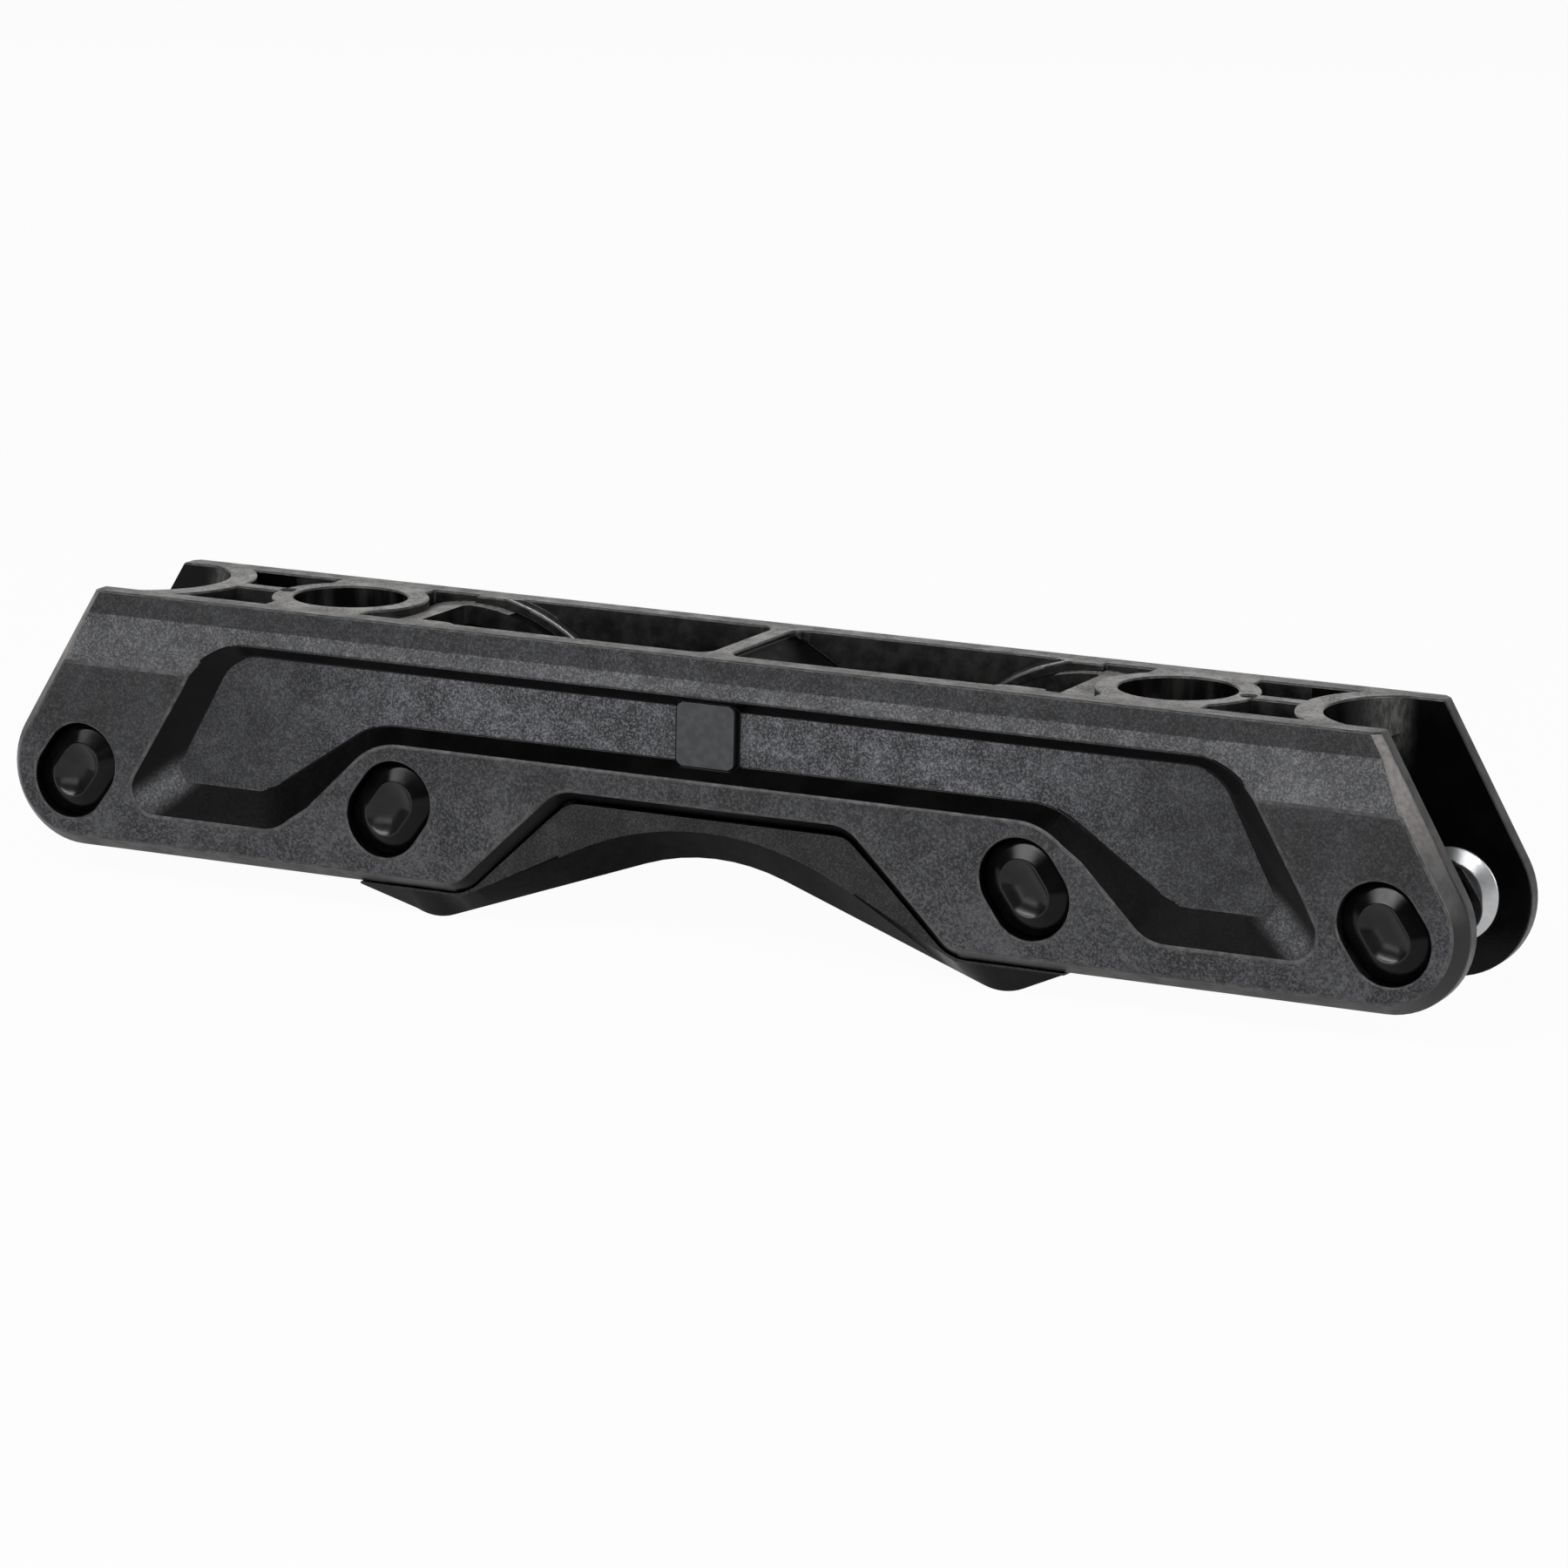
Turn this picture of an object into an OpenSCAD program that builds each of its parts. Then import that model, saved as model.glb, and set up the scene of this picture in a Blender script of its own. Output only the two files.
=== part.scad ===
// Four-wheel inline skate frame: a one-piece moulded body with a separate centre grind block,
// four two-part axles in conical bushes, and a two-bolt deck.
// Millimetres, X along the frame, Y across it, Z up from the feet of the grind block.

/* [Frame] */
// Distance between the two outer axles
wheelbase = 259; // [252:0.5:268]
// Distance between the two inner axles
inner_base = 126; // [123:0.5:129]
// Height of the deck above the axle line
deck_h = 34.3; // [33.6:0.1:37]
// Width of the deck over the upper edges of the walls
deck_w = 37.9; // [37:0.1:40]
// Width over the main faces of the walls
face_w = 41.2; // [40.4:0.1:44]
// Clear width between the walls
channel_w = 28.4; // [27.4:0.1:29]
// Radius of the wall ends round the outer axles
end_r = 14.6; // [14:0.1:16]
// Lean of the sloping wall ends from upright, in degrees
end_lean = 30; // [26:0.5:33]
// Width of the bevel round the wall, seen from the side
bevel_w = 2.3; // [1.5:0.1:2.8]
// Depth of the bevel round the wall
bevel_d = 3; // [2:0.1:3.4]
// Height of the upright band along the top of the wall
band_h = 4.2; // [2:0.1:6]
// Height of the sloping strip below the band
strip_h = 9.5; // [6:0.1:12]

/* [Side panel] */
// Depth of the panel below the main face
panel_d = 3.3; // [1.5:0.1:4.5]
// Top of the panel floor below the deck
panel_top = 9.4; // [8:0.1:11]
// Bottom of the panel floor along the middle, above the axle line
panel_mid = 15; // [13.5:0.1:17]
// Bottom of the panel floor in the two end lobes, above the axle line
panel_low = 0; // [-2:0.1:3]
// Rise of the panel's upper bevel
panel_rise = 3.2; // [1:0.1:3.5]
// Drop of the panel's lower bevel along the middle
panel_drop = 3; // [1.5:0.1:4]
// Drop of the panel's lower bevel in the end lobes
lobe_drop = 6.9; // [3:0.1:8]
// Size of the square pad in the middle of the panel
pad_w = 12; // [8:0.1:16]
// Height of the pad above the panel floor
pad_t = 1.4; // [0.5:0.1:2.5]

/* [Deck] */
// Distance between the two mounting bolts
mount_base = 165; // [160:0.5:168]
// Diameter of the mounting sockets in the deck
socket_d = 21.2; // [19:0.1:22.4]
// Depth of the mounting sockets
socket_h = 5; // [3:0.1:5.4]
// Diameter of the holes for the mounting bolts
bolt_d = 6.6; // [6:0.1:9]
// Wall of the raised ring round a socket
ring_t = 4; // [2.5:0.1:5]
// Radius of the bite in each end of the deck
bite_r = 16; // [14.6:0.1:18]
// Thickness of the web behind the bite
web_t = 5; // [3:0.1:6.5]
// Width of the short rib between web and ring
spine_w = 3.6; // [2:0.1:6]
// Depth of the pockets beside the short rib
pocket_h = 9; // [4:0.1:11]
// Diameter of the small hole at the outer side of each ring
pilot_d = 2.8; // [1.5:0.1:3.2]
// Step from the deck down to the crown of the wheel arch
crown_step = 1.3; // [0.6:0.1:2]
// Thickness of the wheel arch
arch_t = 3.5; // [2.5:0.1:3.9]
// Length of the slot through each wheel arch
slot_l = 22; // [12:0.5:26]
// Width of the slot through each wheel arch
slot_w = 20; // [10:0.5:23]
// Radial height of the bead where an arch meets the wall
bead_h = 2.5; // [1:0.1:3.5]
// Thickness of the cross rib in the middle
rib_t = 4; // [2.5:0.1:6]
// Radius of the corners where the cross rib meets the walls
rib_r = 3; // [1.5:0.1:5]
// Slope of the roof on both sides of the cross rib, in degrees
roof_pitch = 30; // [24:0.5:33]
// Thickness of the roof
roof_t = 3; // [2:0.1:4]

/* [Grind block] */
// Height of the notch for the block above the axle line
notch_top = 5.2; // [3:0.1:6]
// Half width of the notch at its top
notch_half = 27.8; // [25:0.1:30]
// Slope of the notch sides, in degrees
notch_slope = 44.3; // [42:0.1:50]
// Seam between the block and the frame
seam = 0.3; // [0.2:0.05:0.5]
// Depth of the feet below the axle line
foot_drop = 20.5; // [18.5:0.1:22]
// Reach of the feet from the middle
foot_reach = 70; // [64:0.5:76]
// Height of the grind arch above the feet, at the point where its two slopes cross
arch_rise = 19.8; // [18:0.1:20.6]
// Distance between the outer faces of the block
block_w = 36; // [34.4:0.1:37.4]
// Thickness of the two rails
rail_t = 5.4; // [5:0.1:5.8]
// Height of the chamfer under the rails, at the point where its slopes cross
skirt_h = 9.4; // [8:0.1:9.8]
// Depth of the chamfer under the rails
skirt_d = 4.6; // [2:0.1:4.8]
// Distance between the two block screws
screw_base = 28; // [24:0.5:34]

/* [Axles] */
// Diameter of the axle sleeves
axle_d = 8; // [7:0.1:8.4]
// Diameter of the threaded hole in a sleeve
thread_d = 5.2; // [4:0.1:5.6]
// Short width of the oval seat in the wall
seat_w = 15; // [14:0.1:16]
// Extra length of the oval seat over its width
seat_stretch = 3.8; // [2:0.1:4.6]
// Lean of the ovals from upright, in degrees
seat_lean = 35; // [0:1:45]
// Depth of the seat below the main face
seat_h = 3.3; // [2.6:0.1:4]
// Diameter of the head of an axle screw
screw_head_d = 13.4; // [11:0.1:13.8]
// Diameter of the flange of a bush
flange_d = 17.2; // [15:0.1:18.5]
// Outer diameter of the barrel of a bush
barrel_d = 11; // [10:0.1:12]
// Height of a bush above the wall
bush_h = 1.6; // [1.2:0.1:1.8]
// Thickness of the oval bearing spacers
spacer_t = 0.7; // [0.4:0.1:1.2]
// Running clearance round the axles
run = 0.05; // [0.02:0.01:0.09]

/* [Hidden] */
$fn = 64;
arc_n = 8;
panel_n = 16;
end_n = 20;
// Small overlaps that join pieces of one moulding and let cuts pass right through
embed = 0.5;
past = 1;
// Clearance of parts that are pressed or screwed together
snug = 0.02;

moulding = "#2c2c2e";
block_black = "#303032";
gloss_black = "#141416";
bright_steel = "#c9cdd1";
dark_steel = "#4b4d50";
brass = "#b08d46";

// Places along the frame
outer_x = wheelbase / 2;
inner_x = inner_base / 2;
mount_x = mount_base / 2;
axle_xs = [-outer_x, -inner_x, inner_x, outer_x];
axle_z = foot_drop;

// Faces across the frame
face_y = face_w / 2;
deck_y = deck_w / 2;
wall_y = channel_w / 2;
bevel_y = face_y - bevel_d;
floor_y = face_y - panel_d;
seat_y = face_y - seat_h;

// Deck and arches
ring_r = socket_d / 2 + ring_t;
crown_r = deck_h - crown_step;
wheel_r = crown_r - arch_t;
bead_r = crown_r + bead_h;
bead_w = 1.5;
deck_deep = 16;
deck_under = deck_h - deck_deep;
block_half = 10;
arch_clear = 3;
arch_low = notch_top + arch_clear;
roof_drop = 1;
roof_top = deck_h - roof_drop;
roof_in = 20;
bite_x = outer_x + (end_r - deck_h * sin(end_lean)) / cos(end_lean);
slot_start = 0.8;
slot_r = 1.5;
pilot_x = mount_x + ring_r - pilot_d / 2;
pilot_h = 6;

// Panel corners of the floor and the rim: how far the upper and lower outer corners lie inside the
// outer axle, how far the lower and middle inner corners lie outside the inner axle, and the radii
floor_backs = [32.1, 18.9];
floor_ins = [26.3, 4.2];
floor_radii = [9, 2.2, 10, 15];
rim_backs = [28.5, 8.3];
rim_ins = [23.4, 2.9];
rim_radii = [13, 5, 8.4, 12.8];
panel_top_z = deck_h - panel_top;
pad_r = 1.5;
pad_up = 0.2;
pad_z = (panel_top_z + panel_mid) / 2 + pad_up;

// Notch and block
notch_r = 5.7;
toe_r = 8.3;
foot_x = 56.4;
foot_r = 10;
foot_tip_t = 0.4;
arch_r = 40.8;
face_bend = 16;
foot_thin = 3;
rail_y = block_w / 2 - rail_t;
block_top = notch_top - seam;
wheel_gap = 1;

// Block screws and their inserts
m5_d = 5;
insert_d = 7.2;
insert_h = 9;
boss_d = 11;
block_screw_head_d = 9;
block_screw_head_h = 2.6;
block_screw_grip = 5;
block_screw_l = 12;
block_screw_play = 0.25;
hex_m5 = 3;
hex_depth = 1.6;

// Axle heads, bushes and spacers
head_play = 0.35;
head_lip = 0.5;
head_proud = 0.3;
dish_w = 7;
dish_stretch = 3.2;
dish_mid_w = 5.6;
dish_mid_stretch = 2.9;
dish_mid_h = 1.2;
dish_floor_w = 2.8;
dish_floor_stretch = 1.9;
dish_h = 1.7;
rim_w = 0.35;
sleeve_short = 0.6;
axle_end_y = seat_y - sleeve_short;
thread_l = 22;
screw_head_h = 2.6;
screw_dome_h = 0.6;
screw_l = 19;
hex_axle = 5;
flange_t = 0.8;
tip_d = 12.4;
spacer_w = 10;
spacer_stretch = 4.4;

// Unit vector along v
function unit(v) = v / norm(v);

// Arc about c from angle a, through sweep s
function arc(c, r, a, s, n) = [for (i = [0:n]) c + r * [cos(a + s * i / n), sin(a + s * i / n)]];

// Signed turn from direction u to direction v, in degrees
function turn(u, v) = atan2(u[0] * v[1] - u[1] * v[0], u * v);

// Corner b of a path from a to c, rounded to radius r
function corner(a, b, c, r, n) =
    let (
        u = unit(a - b),
        v = unit(c - b),
        half = acos(u * v) / 2,
        m = b + unit(u + v) * r / sin(half),
        p = b + u * r / tan(half) - m,
        q = b + v * r / tan(half) - m
    )
    arc(m, r, atan2(p[1], p[0]), turn(p, q), n);

// Closed path with each corner rounded to its own radius
function rounded(path, radii, n = arc_n) =
    let (k = len(path))
    [for (i = [0:k - 1]) each corner(path[(i + k - 1) % k], path[i], path[(i + 1) % k], radii[i], n)];

// The right half of a path, from its top round to its bottom, followed by its mirror image
function both(path) = concat(path, [for (i = [len(path) - 1:-1:0]) [-path[i][0], path[i][1]]]);

// A flat path stood up in the plane at y
function stand(path, y) = [for (p = path) [p[0], y, p[1]]];

// Corners of the notch with the wall grown by o, their radii and the lengths of their tangents
function notch_high(o) = notch_top - o;
function notch_low(o) = -end_r - o;
function notch_side(z, o) = notch_half - o / sin(notch_slope) + (notch_top - z) / tan(notch_slope);
function crown_x(o) = notch_side(notch_high(o), o);
function toe_x(o) = notch_side(notch_low(o), o);
function notch_round(o) = notch_r - o;
function toe_round(o) = toe_r + o;
function notch_tan(o) = notch_round(o) * tan(notch_slope / 2);
function toe_tan(o) = toe_round(o) * tan(notch_slope / 2);

// Outline of a wall, grown by o, starting from a point that sees the whole of its half
function wall_path(o) =
    let (
        r = end_r + o,
        top = outer_x + (r - deck_h * sin(end_lean)) / cos(end_lean),
        toe = [toe_x(o), notch_low(o)],
        crown = [crown_x(o), notch_high(o)]
    )
    both(concat(
        [[inner_x, deck_h], [top, deck_h]],
        arc([outer_x, 0], r, end_lean, -90 - end_lean, end_n),
        corner([outer_x, -r], toe, crown, toe_round(o), arc_n),
        corner(toe, crown, [0, notch_high(o)], notch_round(o), arc_n)
    ));

// Outline of a panel at its floor or its rim
function panel_path(backs, ins, radii, top, mid, low) =
    let (
        high_out = [outer_x - backs[0], top],
        low_out = [outer_x - backs[1], low],
        low_in = [inner_x + ins[0], low],
        mid_in = [inner_x + ins[1], mid]
    )
    both(concat(
        corner([0, top], high_out, low_out, radii[0], panel_n),
        corner(high_out, low_out, low_in, radii[1], panel_n),
        corner(low_out, low_in, mid_in, radii[2], panel_n),
        corner(low_in, mid_in, [0, mid], radii[3], panel_n)
    ));

// Height of the notch at place x: flat top, rounded shoulder, straight side and rounded toe
function notch_z(x, o) =
    let (
        d = abs(x),
        shoulder = crown_x(o) - notch_tan(o),
        toe = toe_x(o) + toe_tan(o)
    )
    d <= shoulder ? notch_high(o)
    : d <= crown_x(o) + notch_tan(o) * cos(notch_slope)
        ? notch_high(o) - notch_round(o) + sqrt(notch_round(o) ^ 2 - (d - shoulder) ^ 2)
    : d <= toe_x(o) - toe_tan(o) * cos(notch_slope)
        ? notch_high(o) - (d - crown_x(o)) * tan(notch_slope)
    : d < toe ? notch_low(o) + toe_round(o) - sqrt(toe_round(o) ^ 2 - (d - toe) ^ 2)
    : notch_low(o);

// Underside of a rail: two slopes that cross above the middle, each tangent to a round foot.
// lift is 0 on the inner edge of the chamfer and 1 on the outer face.
function foot_mid(lift) = [foot_x, foot_r - foot_drop + lift * foot_thin];
function arch_top(lift) = [0, arch_rise - foot_drop + lift * skirt_h];
function arch_bend(lift) = arch_r + lift * face_bend;
function foot_tip(lift) = [foot_reach, -end_r - seam - foot_tip_t + lift * foot_tip_t / 2];
function tangent_in(lift) =
    let (v = foot_mid(lift) - arch_top(lift))
    -atan2(v[1], v[0]) + asin(foot_r / norm(v));
function tangent_out(lift) =
    let (v = foot_tip(lift) - foot_mid(lift))
    atan2(v[1], v[0]) + asin(foot_r / norm(v));
function under_z(x, lift) =
    let (
        d = abs(x),
        a = tangent_in(lift),
        b = tangent_out(lift),
        mid = foot_mid(lift),
        top = arch_top(lift),
        bend = arch_bend(lift)
    )
    d <= bend * sin(a) ? top[1] - bend / cos(a) + sqrt(bend ^ 2 - d ^ 2)
    : d <= mid[0] - foot_r * sin(a) ? top[1] - d * tan(a)
    : d <= mid[0] + foot_r * sin(b) ? mid[1] - sqrt(foot_r ^ 2 - (d - mid[0]) ^ 2)
    : foot_tip(lift)[1] - (foot_reach - d) * tan(b);

// Places along the block where its curves need points
function steps(a, b) = [for (i = [0:arc_n]) a + (b - a) * i / arc_n];
function outward(mid, xs) = concat([for (i = [len(xs) - 1:-1:0]) -xs[i]], mid, xs);
arch_edge = arch_r * sin(tangent_in(0));
arch_xs = steps(-arch_edge, arch_edge);
face_xs = steps(arch_edge, arch_bend(1) * sin(tangent_in(1)));
shoulder_xs = steps(crown_x(seam) - notch_tan(seam), crown_x(seam) + notch_tan(seam) * cos(notch_slope));
toe_xs = steps(toe_x(seam) - toe_tan(seam) * cos(notch_slope), toe_x(seam) + toe_tan(seam));
foot_xs = steps(foot_x - foot_r * sin(tangent_in(0)), foot_x + foot_r * sin(tangent_out(0)));
block_xs = outward(arch_xs, concat(
    [for (x = face_xs) if (x > arch_edge + snug && x < shoulder_xs[0] - snug) x], shoulder_xs, toe_xs, [for (x = foot_xs) if (x > toe_xs[arc_n] + snug) x], [foot_reach]
));

// Section of the block at place x, before the wheel wells are cut
function block_ring(x) =
    let (
        out = block_w / 2,
        edge = out - skirt_d,
        top = notch_z(x, seam),
        lip = foot_tip_t / 2,
        face = min(top - lip, max(under_z(x, 1), notch_low(seam) - lip)),
        deep = under_z(x, 0)
    )
    [[x, -out, face], [x, -edge, deep], [x, edge, deep], [x, out, face], [x, out, top], [x, -out, top]];

// Oval of two half circles, leaning like the axle seats at place x
function lean_at(x) = (x > 0 ? 1 : -1) * seat_lean;
function oval(w, stretch, a) =
    let (
        up = stretch / 2 * [-sin(a), cos(a)],
        n = 2 * arc_n
    )
    concat(arc(up, w / 2, a, 180, n), arc(-up, w / 2, a + 180, 180, n));

// Solid skin over closed rings of equal counts. A cap is two fans of triangles, one from the first
// point of its ring over the first half and one from the last point over the second half.
module skin(rings) {
    n = len(rings[0]);
    h = floor(n / 2);
    last = (len(rings) - 1) * n;
    sides = [
        for (k = [0:n:last - n]) for (j = [0:n - 1]) each [
            [k + j, k + n + (j + 1) % n, k + (j + 1) % n],
            [k + j, k + n + j, k + n + (j + 1) % n]
        ]
    ];
    cap = concat(
        [for (j = [1:1:h - 1]) [0, j, j + 1]],
        [[0, h, n - 1]],
        [for (j = [h:1:n - 3]) [n - 1, j, j + 1]]
    );
    polyhedron(
        [for (r = rings) each r],
        concat(sides, cap, [for (t = cap) [last + t[0], last + t[2], last + t[1]]])
    );
}

// A flat shape in X and Z, extruded across the frame from y0 to y1
module across(y0, y1) {
    translate([0, y1, 0]) rotate([90, 0, 0]) linear_extrude(y1 - y0) children();
}

module both_ends() {
    children();
    mirror([1, 0, 0]) children();
}

module both_sides() {
    children();
    mirror([0, 1, 0]) children();
}

module oval_shape(w, stretch, a) {
    rotate(a) {
        translate([0, stretch / 2]) circle(d = w);
        translate([0, -stretch / 2]) circle(d = w);
        square([w, stretch], center = true);
    }
}

// Turned piece about the axle at place x, with its profile drawn as radius against height along +Y
module turned(x) {
    translate([x, 0, axle_z]) rotate([-90, 0, 0]) rotate_extrude() children();
}

// Wall on the far side: bevelled all round, with the band and strip, the notch, the panel and its pad
module wall() {
    difference() {
        skin([
            stand(wall_path(0), wall_y),
            stand(wall_path(0), bevel_y),
            stand(wall_path(-bevel_w), face_y)
        ]);
        translate([-wheelbase, 0, 0]) rotate([90, 0, 90]) linear_extrude(2 * wheelbase) polygon([
            [deck_y, deck_h + past], [deck_y, deck_h - band_h], [face_y, deck_h - band_h - strip_h],
            [face_y + past, deck_h - band_h - strip_h], [face_y + past, deck_h + past]
        ]);
        panel_cut();
    }
    across(floor_y - embed, floor_y + pad_t) translate([0, pad_z])
        polygon(rounded([
            [pad_w / 2, pad_w / 2], [pad_w / 2, -pad_w / 2],
            [-pad_w / 2, -pad_w / 2], [-pad_w / 2, pad_w / 2]
        ], [pad_r, pad_r, pad_r, pad_r]));
}

// Recess of the panel, its bevels carried on past the main face
module panel_cut() {
    deep = panel_path(floor_backs, floor_ins, floor_radii, panel_top_z, panel_mid, panel_low);
    rim = panel_path(rim_backs, rim_ins, rim_radii,
        panel_top_z + panel_rise, panel_mid - panel_drop, panel_low - lobe_drop);
    skin([
        stand(deep, floor_y),
        stand(rim + (rim - deep) * past / panel_d, face_y + past)
    ]);
}

// Deck, sockets, pockets, wheel arches, roof and screw bosses between the walls
module deck() {
    full_y = wall_y + embed;
    difference() {
        union() {
            both_ends() {
                translate([mount_x - block_half, -full_y, deck_under])
                    cube([bite_x - mount_x + block_half, 2 * full_y, deck_h - deck_under]);
                translate([mount_x, 0, deck_under]) cylinder(r = ring_r, h = deck_h - deck_under);
                across(-full_y, full_y) intersection() {
                    translate([inner_x, 0]) circle(crown_r);
                    translate([0, arch_low]) square([mount_x, deck_h - arch_low]);
                }
                both_sides() across(wall_y - bead_w, full_y) intersection() {
                    translate([inner_x, 0]) circle(bead_r);
                    translate([0, arch_low]) square([inner_x, deck_h - arch_low]);
                }
                across(-full_y, full_y) polygon([
                    [0, roof_top], [rib_t / 2, roof_top], [inner_x - roof_in, roof_z(inner_x - roof_in)],
                    [inner_x - roof_in, roof_z(inner_x - roof_in) - roof_t / cos(roof_pitch)],
                    [0, roof_top - roof_t / cos(roof_pitch)]
                ]);
            }
            translate([0, 0, roof_top - roof_t]) linear_extrude(deck_h - roof_top + roof_t)
                offset(r = -rib_r) offset(delta = rib_r) {
                    square([rib_t, 2 * full_y], center = true);
                    both_sides() translate([-rib_t / 2 - rib_r, wall_y]) square([rib_t + 2 * rib_r, embed]);
                }
        }
        both_ends() deck_cuts();
    }
    both_ends() screw_boss();
}

function roof_z(x) = roof_top - (x - rib_t / 2) * tan(roof_pitch);

module deck_cuts() {
    for (x = [inner_x, outer_x]) across(-wall_y, wall_y) translate([x, 0]) circle(wheel_r);
    translate([bite_x, 0, deck_under - past]) cylinder(r = bite_r, h = deck_h);
    translate([mount_x, 0, deck_h - socket_h]) cylinder(d = socket_d, h = socket_h + past);
    translate([mount_x, 0, 0]) cylinder(d = bolt_d, h = deck_h);
    translate([pilot_x, 0, deck_h - pilot_h]) cylinder(d = pilot_d, h = pilot_h + past);
    both_sides() translate([0, 0, deck_h - pocket_h]) linear_extrude(pocket_h + past) difference() {
        translate([mount_x + block_half, spine_w / 2])
            square([bite_x - mount_x - block_half, wall_y - spine_w / 2]);
        translate([mount_x, 0]) circle(ring_r);
        translate([bite_x, 0]) circle(bite_r + web_t);
    }
    translate([inner_x + slot_start - slot_l, -slot_w / 2, 0]) linear_extrude(deck_h + past)
        polygon(rounded([[0, 0], [slot_l, 0], [slot_l, slot_w], [0, slot_w]], [slot_r, slot_r, slot_r, slot_r]));
}

// Boss for a block screw, hanging from the roof
module screw_boss() {
    x = screw_base / 2;
    top = roof_z(x) - roof_t / 2;
    translate([x, 0, block_top]) difference() {
        cylinder(d = boss_d, h = top - block_top);
        translate([0, 0, -past]) cylinder(d = insert_d + 2 * snug, h = insert_h + past);
        cylinder(d = m5_d + 2 * block_screw_play, h = block_screw_l);
    }
}

module frame_body() {
    color(moulding) translate([0, 0, axle_z]) difference() {
        union() {
            both_sides() wall();
            deck();
        }
        for (x = axle_xs) translate([x, 0, 0]) {
            across(-face_y - past, face_y + past) circle(d = barrel_d + 2 * snug);
            both_sides() across(seat_y, face_y + past) oval_shape(seat_w, seat_stretch, lean_at(x));
        }
    }
}

// Grind block: a bridge between the inner wheels and a rail in each notch, with wells for the wheels
module grind_block() {
    color(block_black) translate([0, 0, axle_z]) difference() {
        skin([for (x = block_xs) block_ring(x)]);
        both_ends() {
            across(-rail_y, rail_y) translate([inner_x, 0]) circle(wheel_r + wheel_gap);
            translate([screw_base / 2, 0, -foot_drop]) {
                cylinder(d = m5_d + 2 * block_screw_play, h = 2 * foot_drop);
                cylinder(d = block_screw_head_d + 2 * block_screw_play,
                    h = foot_drop + block_top - block_screw_grip);
            }
        }
    }
}

// Axle sleeve with its oval head in the near wall: a cone that rises to a rim round a dished middle
module axle(i) {
    x = axle_xs[i];
    a = lean_at(x);
    head_w = seat_w - 2 * head_play;
    rim_y = face_y - head_proud;
    color(gloss_black) translate([x, 0, axle_z]) difference() {
        union() {
            skin([
                stand(oval(head_w, seat_stretch, a), -seat_y),
                stand(oval(head_w, seat_stretch, a), -seat_y - head_lip),
                stand(oval(dish_w + 2 * rim_w, dish_stretch, a), -rim_y),
                stand(oval(dish_w, dish_stretch, a), -rim_y),
                stand(oval(dish_mid_w, dish_mid_stretch, a), -rim_y + dish_mid_h),
                stand(oval(dish_floor_w, dish_floor_stretch, a), -rim_y + dish_h)
            ]);
            across(-seat_y - embed, axle_end_y) circle(d = axle_d);
        }
        across(axle_end_y - thread_l, axle_end_y + past) circle(d = thread_d);
    }
}

// Screw in the far end of a sleeve, with a low domed head and a hexagon socket
module axle_screw(i) {
    head_r = screw_head_d / 2;
    color(dark_steel) difference() {
        turned(axle_xs[i]) polygon([
            [0, seat_y - screw_l], [thread_d / 2 - run, seat_y - screw_l], [thread_d / 2 - run, seat_y],
            [head_r, seat_y], [head_r, seat_y + screw_head_h - screw_dome_h],
            [head_r - 2 * screw_dome_h, seat_y + screw_head_h], [0, seat_y + screw_head_h]
        ]);
        translate([axle_xs[i], seat_y + screw_head_h + past, axle_z]) rotate([90, 0, 0])
            cylinder(d = hex_axle / cos(30), h = screw_head_h + past, $fn = 6);
    }
}

// Conical bush pressed into a wall from inside, drawn on the far side
module bush(i) {
    bore_r = axle_d / 2 + run;
    color(bright_steel) turned(axle_xs[i]) polygon([
        [bore_r, wall_y - bush_h], [tip_d / 2, wall_y - bush_h], [flange_d / 2, wall_y - flange_t],
        [flange_d / 2, wall_y], [barrel_d / 2, wall_y], [barrel_d / 2, seat_y], [bore_r, seat_y]
    ]);
}

// Oval spacer between a bush and a wheel bearing, drawn on the far side
module spacer(i) {
    x = axle_xs[i];
    tip_y = wall_y - bush_h;
    color(gloss_black) translate([x, 0, axle_z]) across(tip_y - spacer_t, tip_y) difference() {
        oval_shape(spacer_w, spacer_stretch, lean_at(x));
        circle(d = axle_d + 2 * run);
    }
}

// Screw that holds the block from below
module block_screw(i) {
    color(dark_steel) translate([(i - 0.5) * screw_base, 0, axle_z + block_top - block_screw_grip])
        difference() {
            union() {
                cylinder(d = m5_d, h = block_screw_l);
                translate([0, 0, -block_screw_head_h])
                    cylinder(d = block_screw_head_d, h = block_screw_head_h);
            }
            translate([0, 0, -block_screw_head_h - past])
                cylinder(d = hex_m5 / cos(30), h = hex_depth + past, $fn = 6);
        }
}

// Threaded insert in a boss of the frame
module block_insert(i) {
    color(brass) translate([(i - 0.5) * screw_base, 0, axle_z + block_top]) difference() {
        cylinder(d = insert_d, h = insert_h);
        translate([0, 0, -past]) cylinder(d = m5_d + 2 * snug, h = insert_h + 2 * past);
    }
}

frame_body();
grind_block();
for (i = [0:3]) {
    axle(i);
    axle_screw(i);
    mirror([0, 1, 0]) bush(i);
    bush(i);
    mirror([0, 1, 0]) spacer(i);
    spacer(i);
}
for (i = [0:1]) {
    block_screw(i);
    block_insert(i);
}
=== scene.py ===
import math

import bmesh
import bpy
from mathutils import Matrix, Vector


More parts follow.
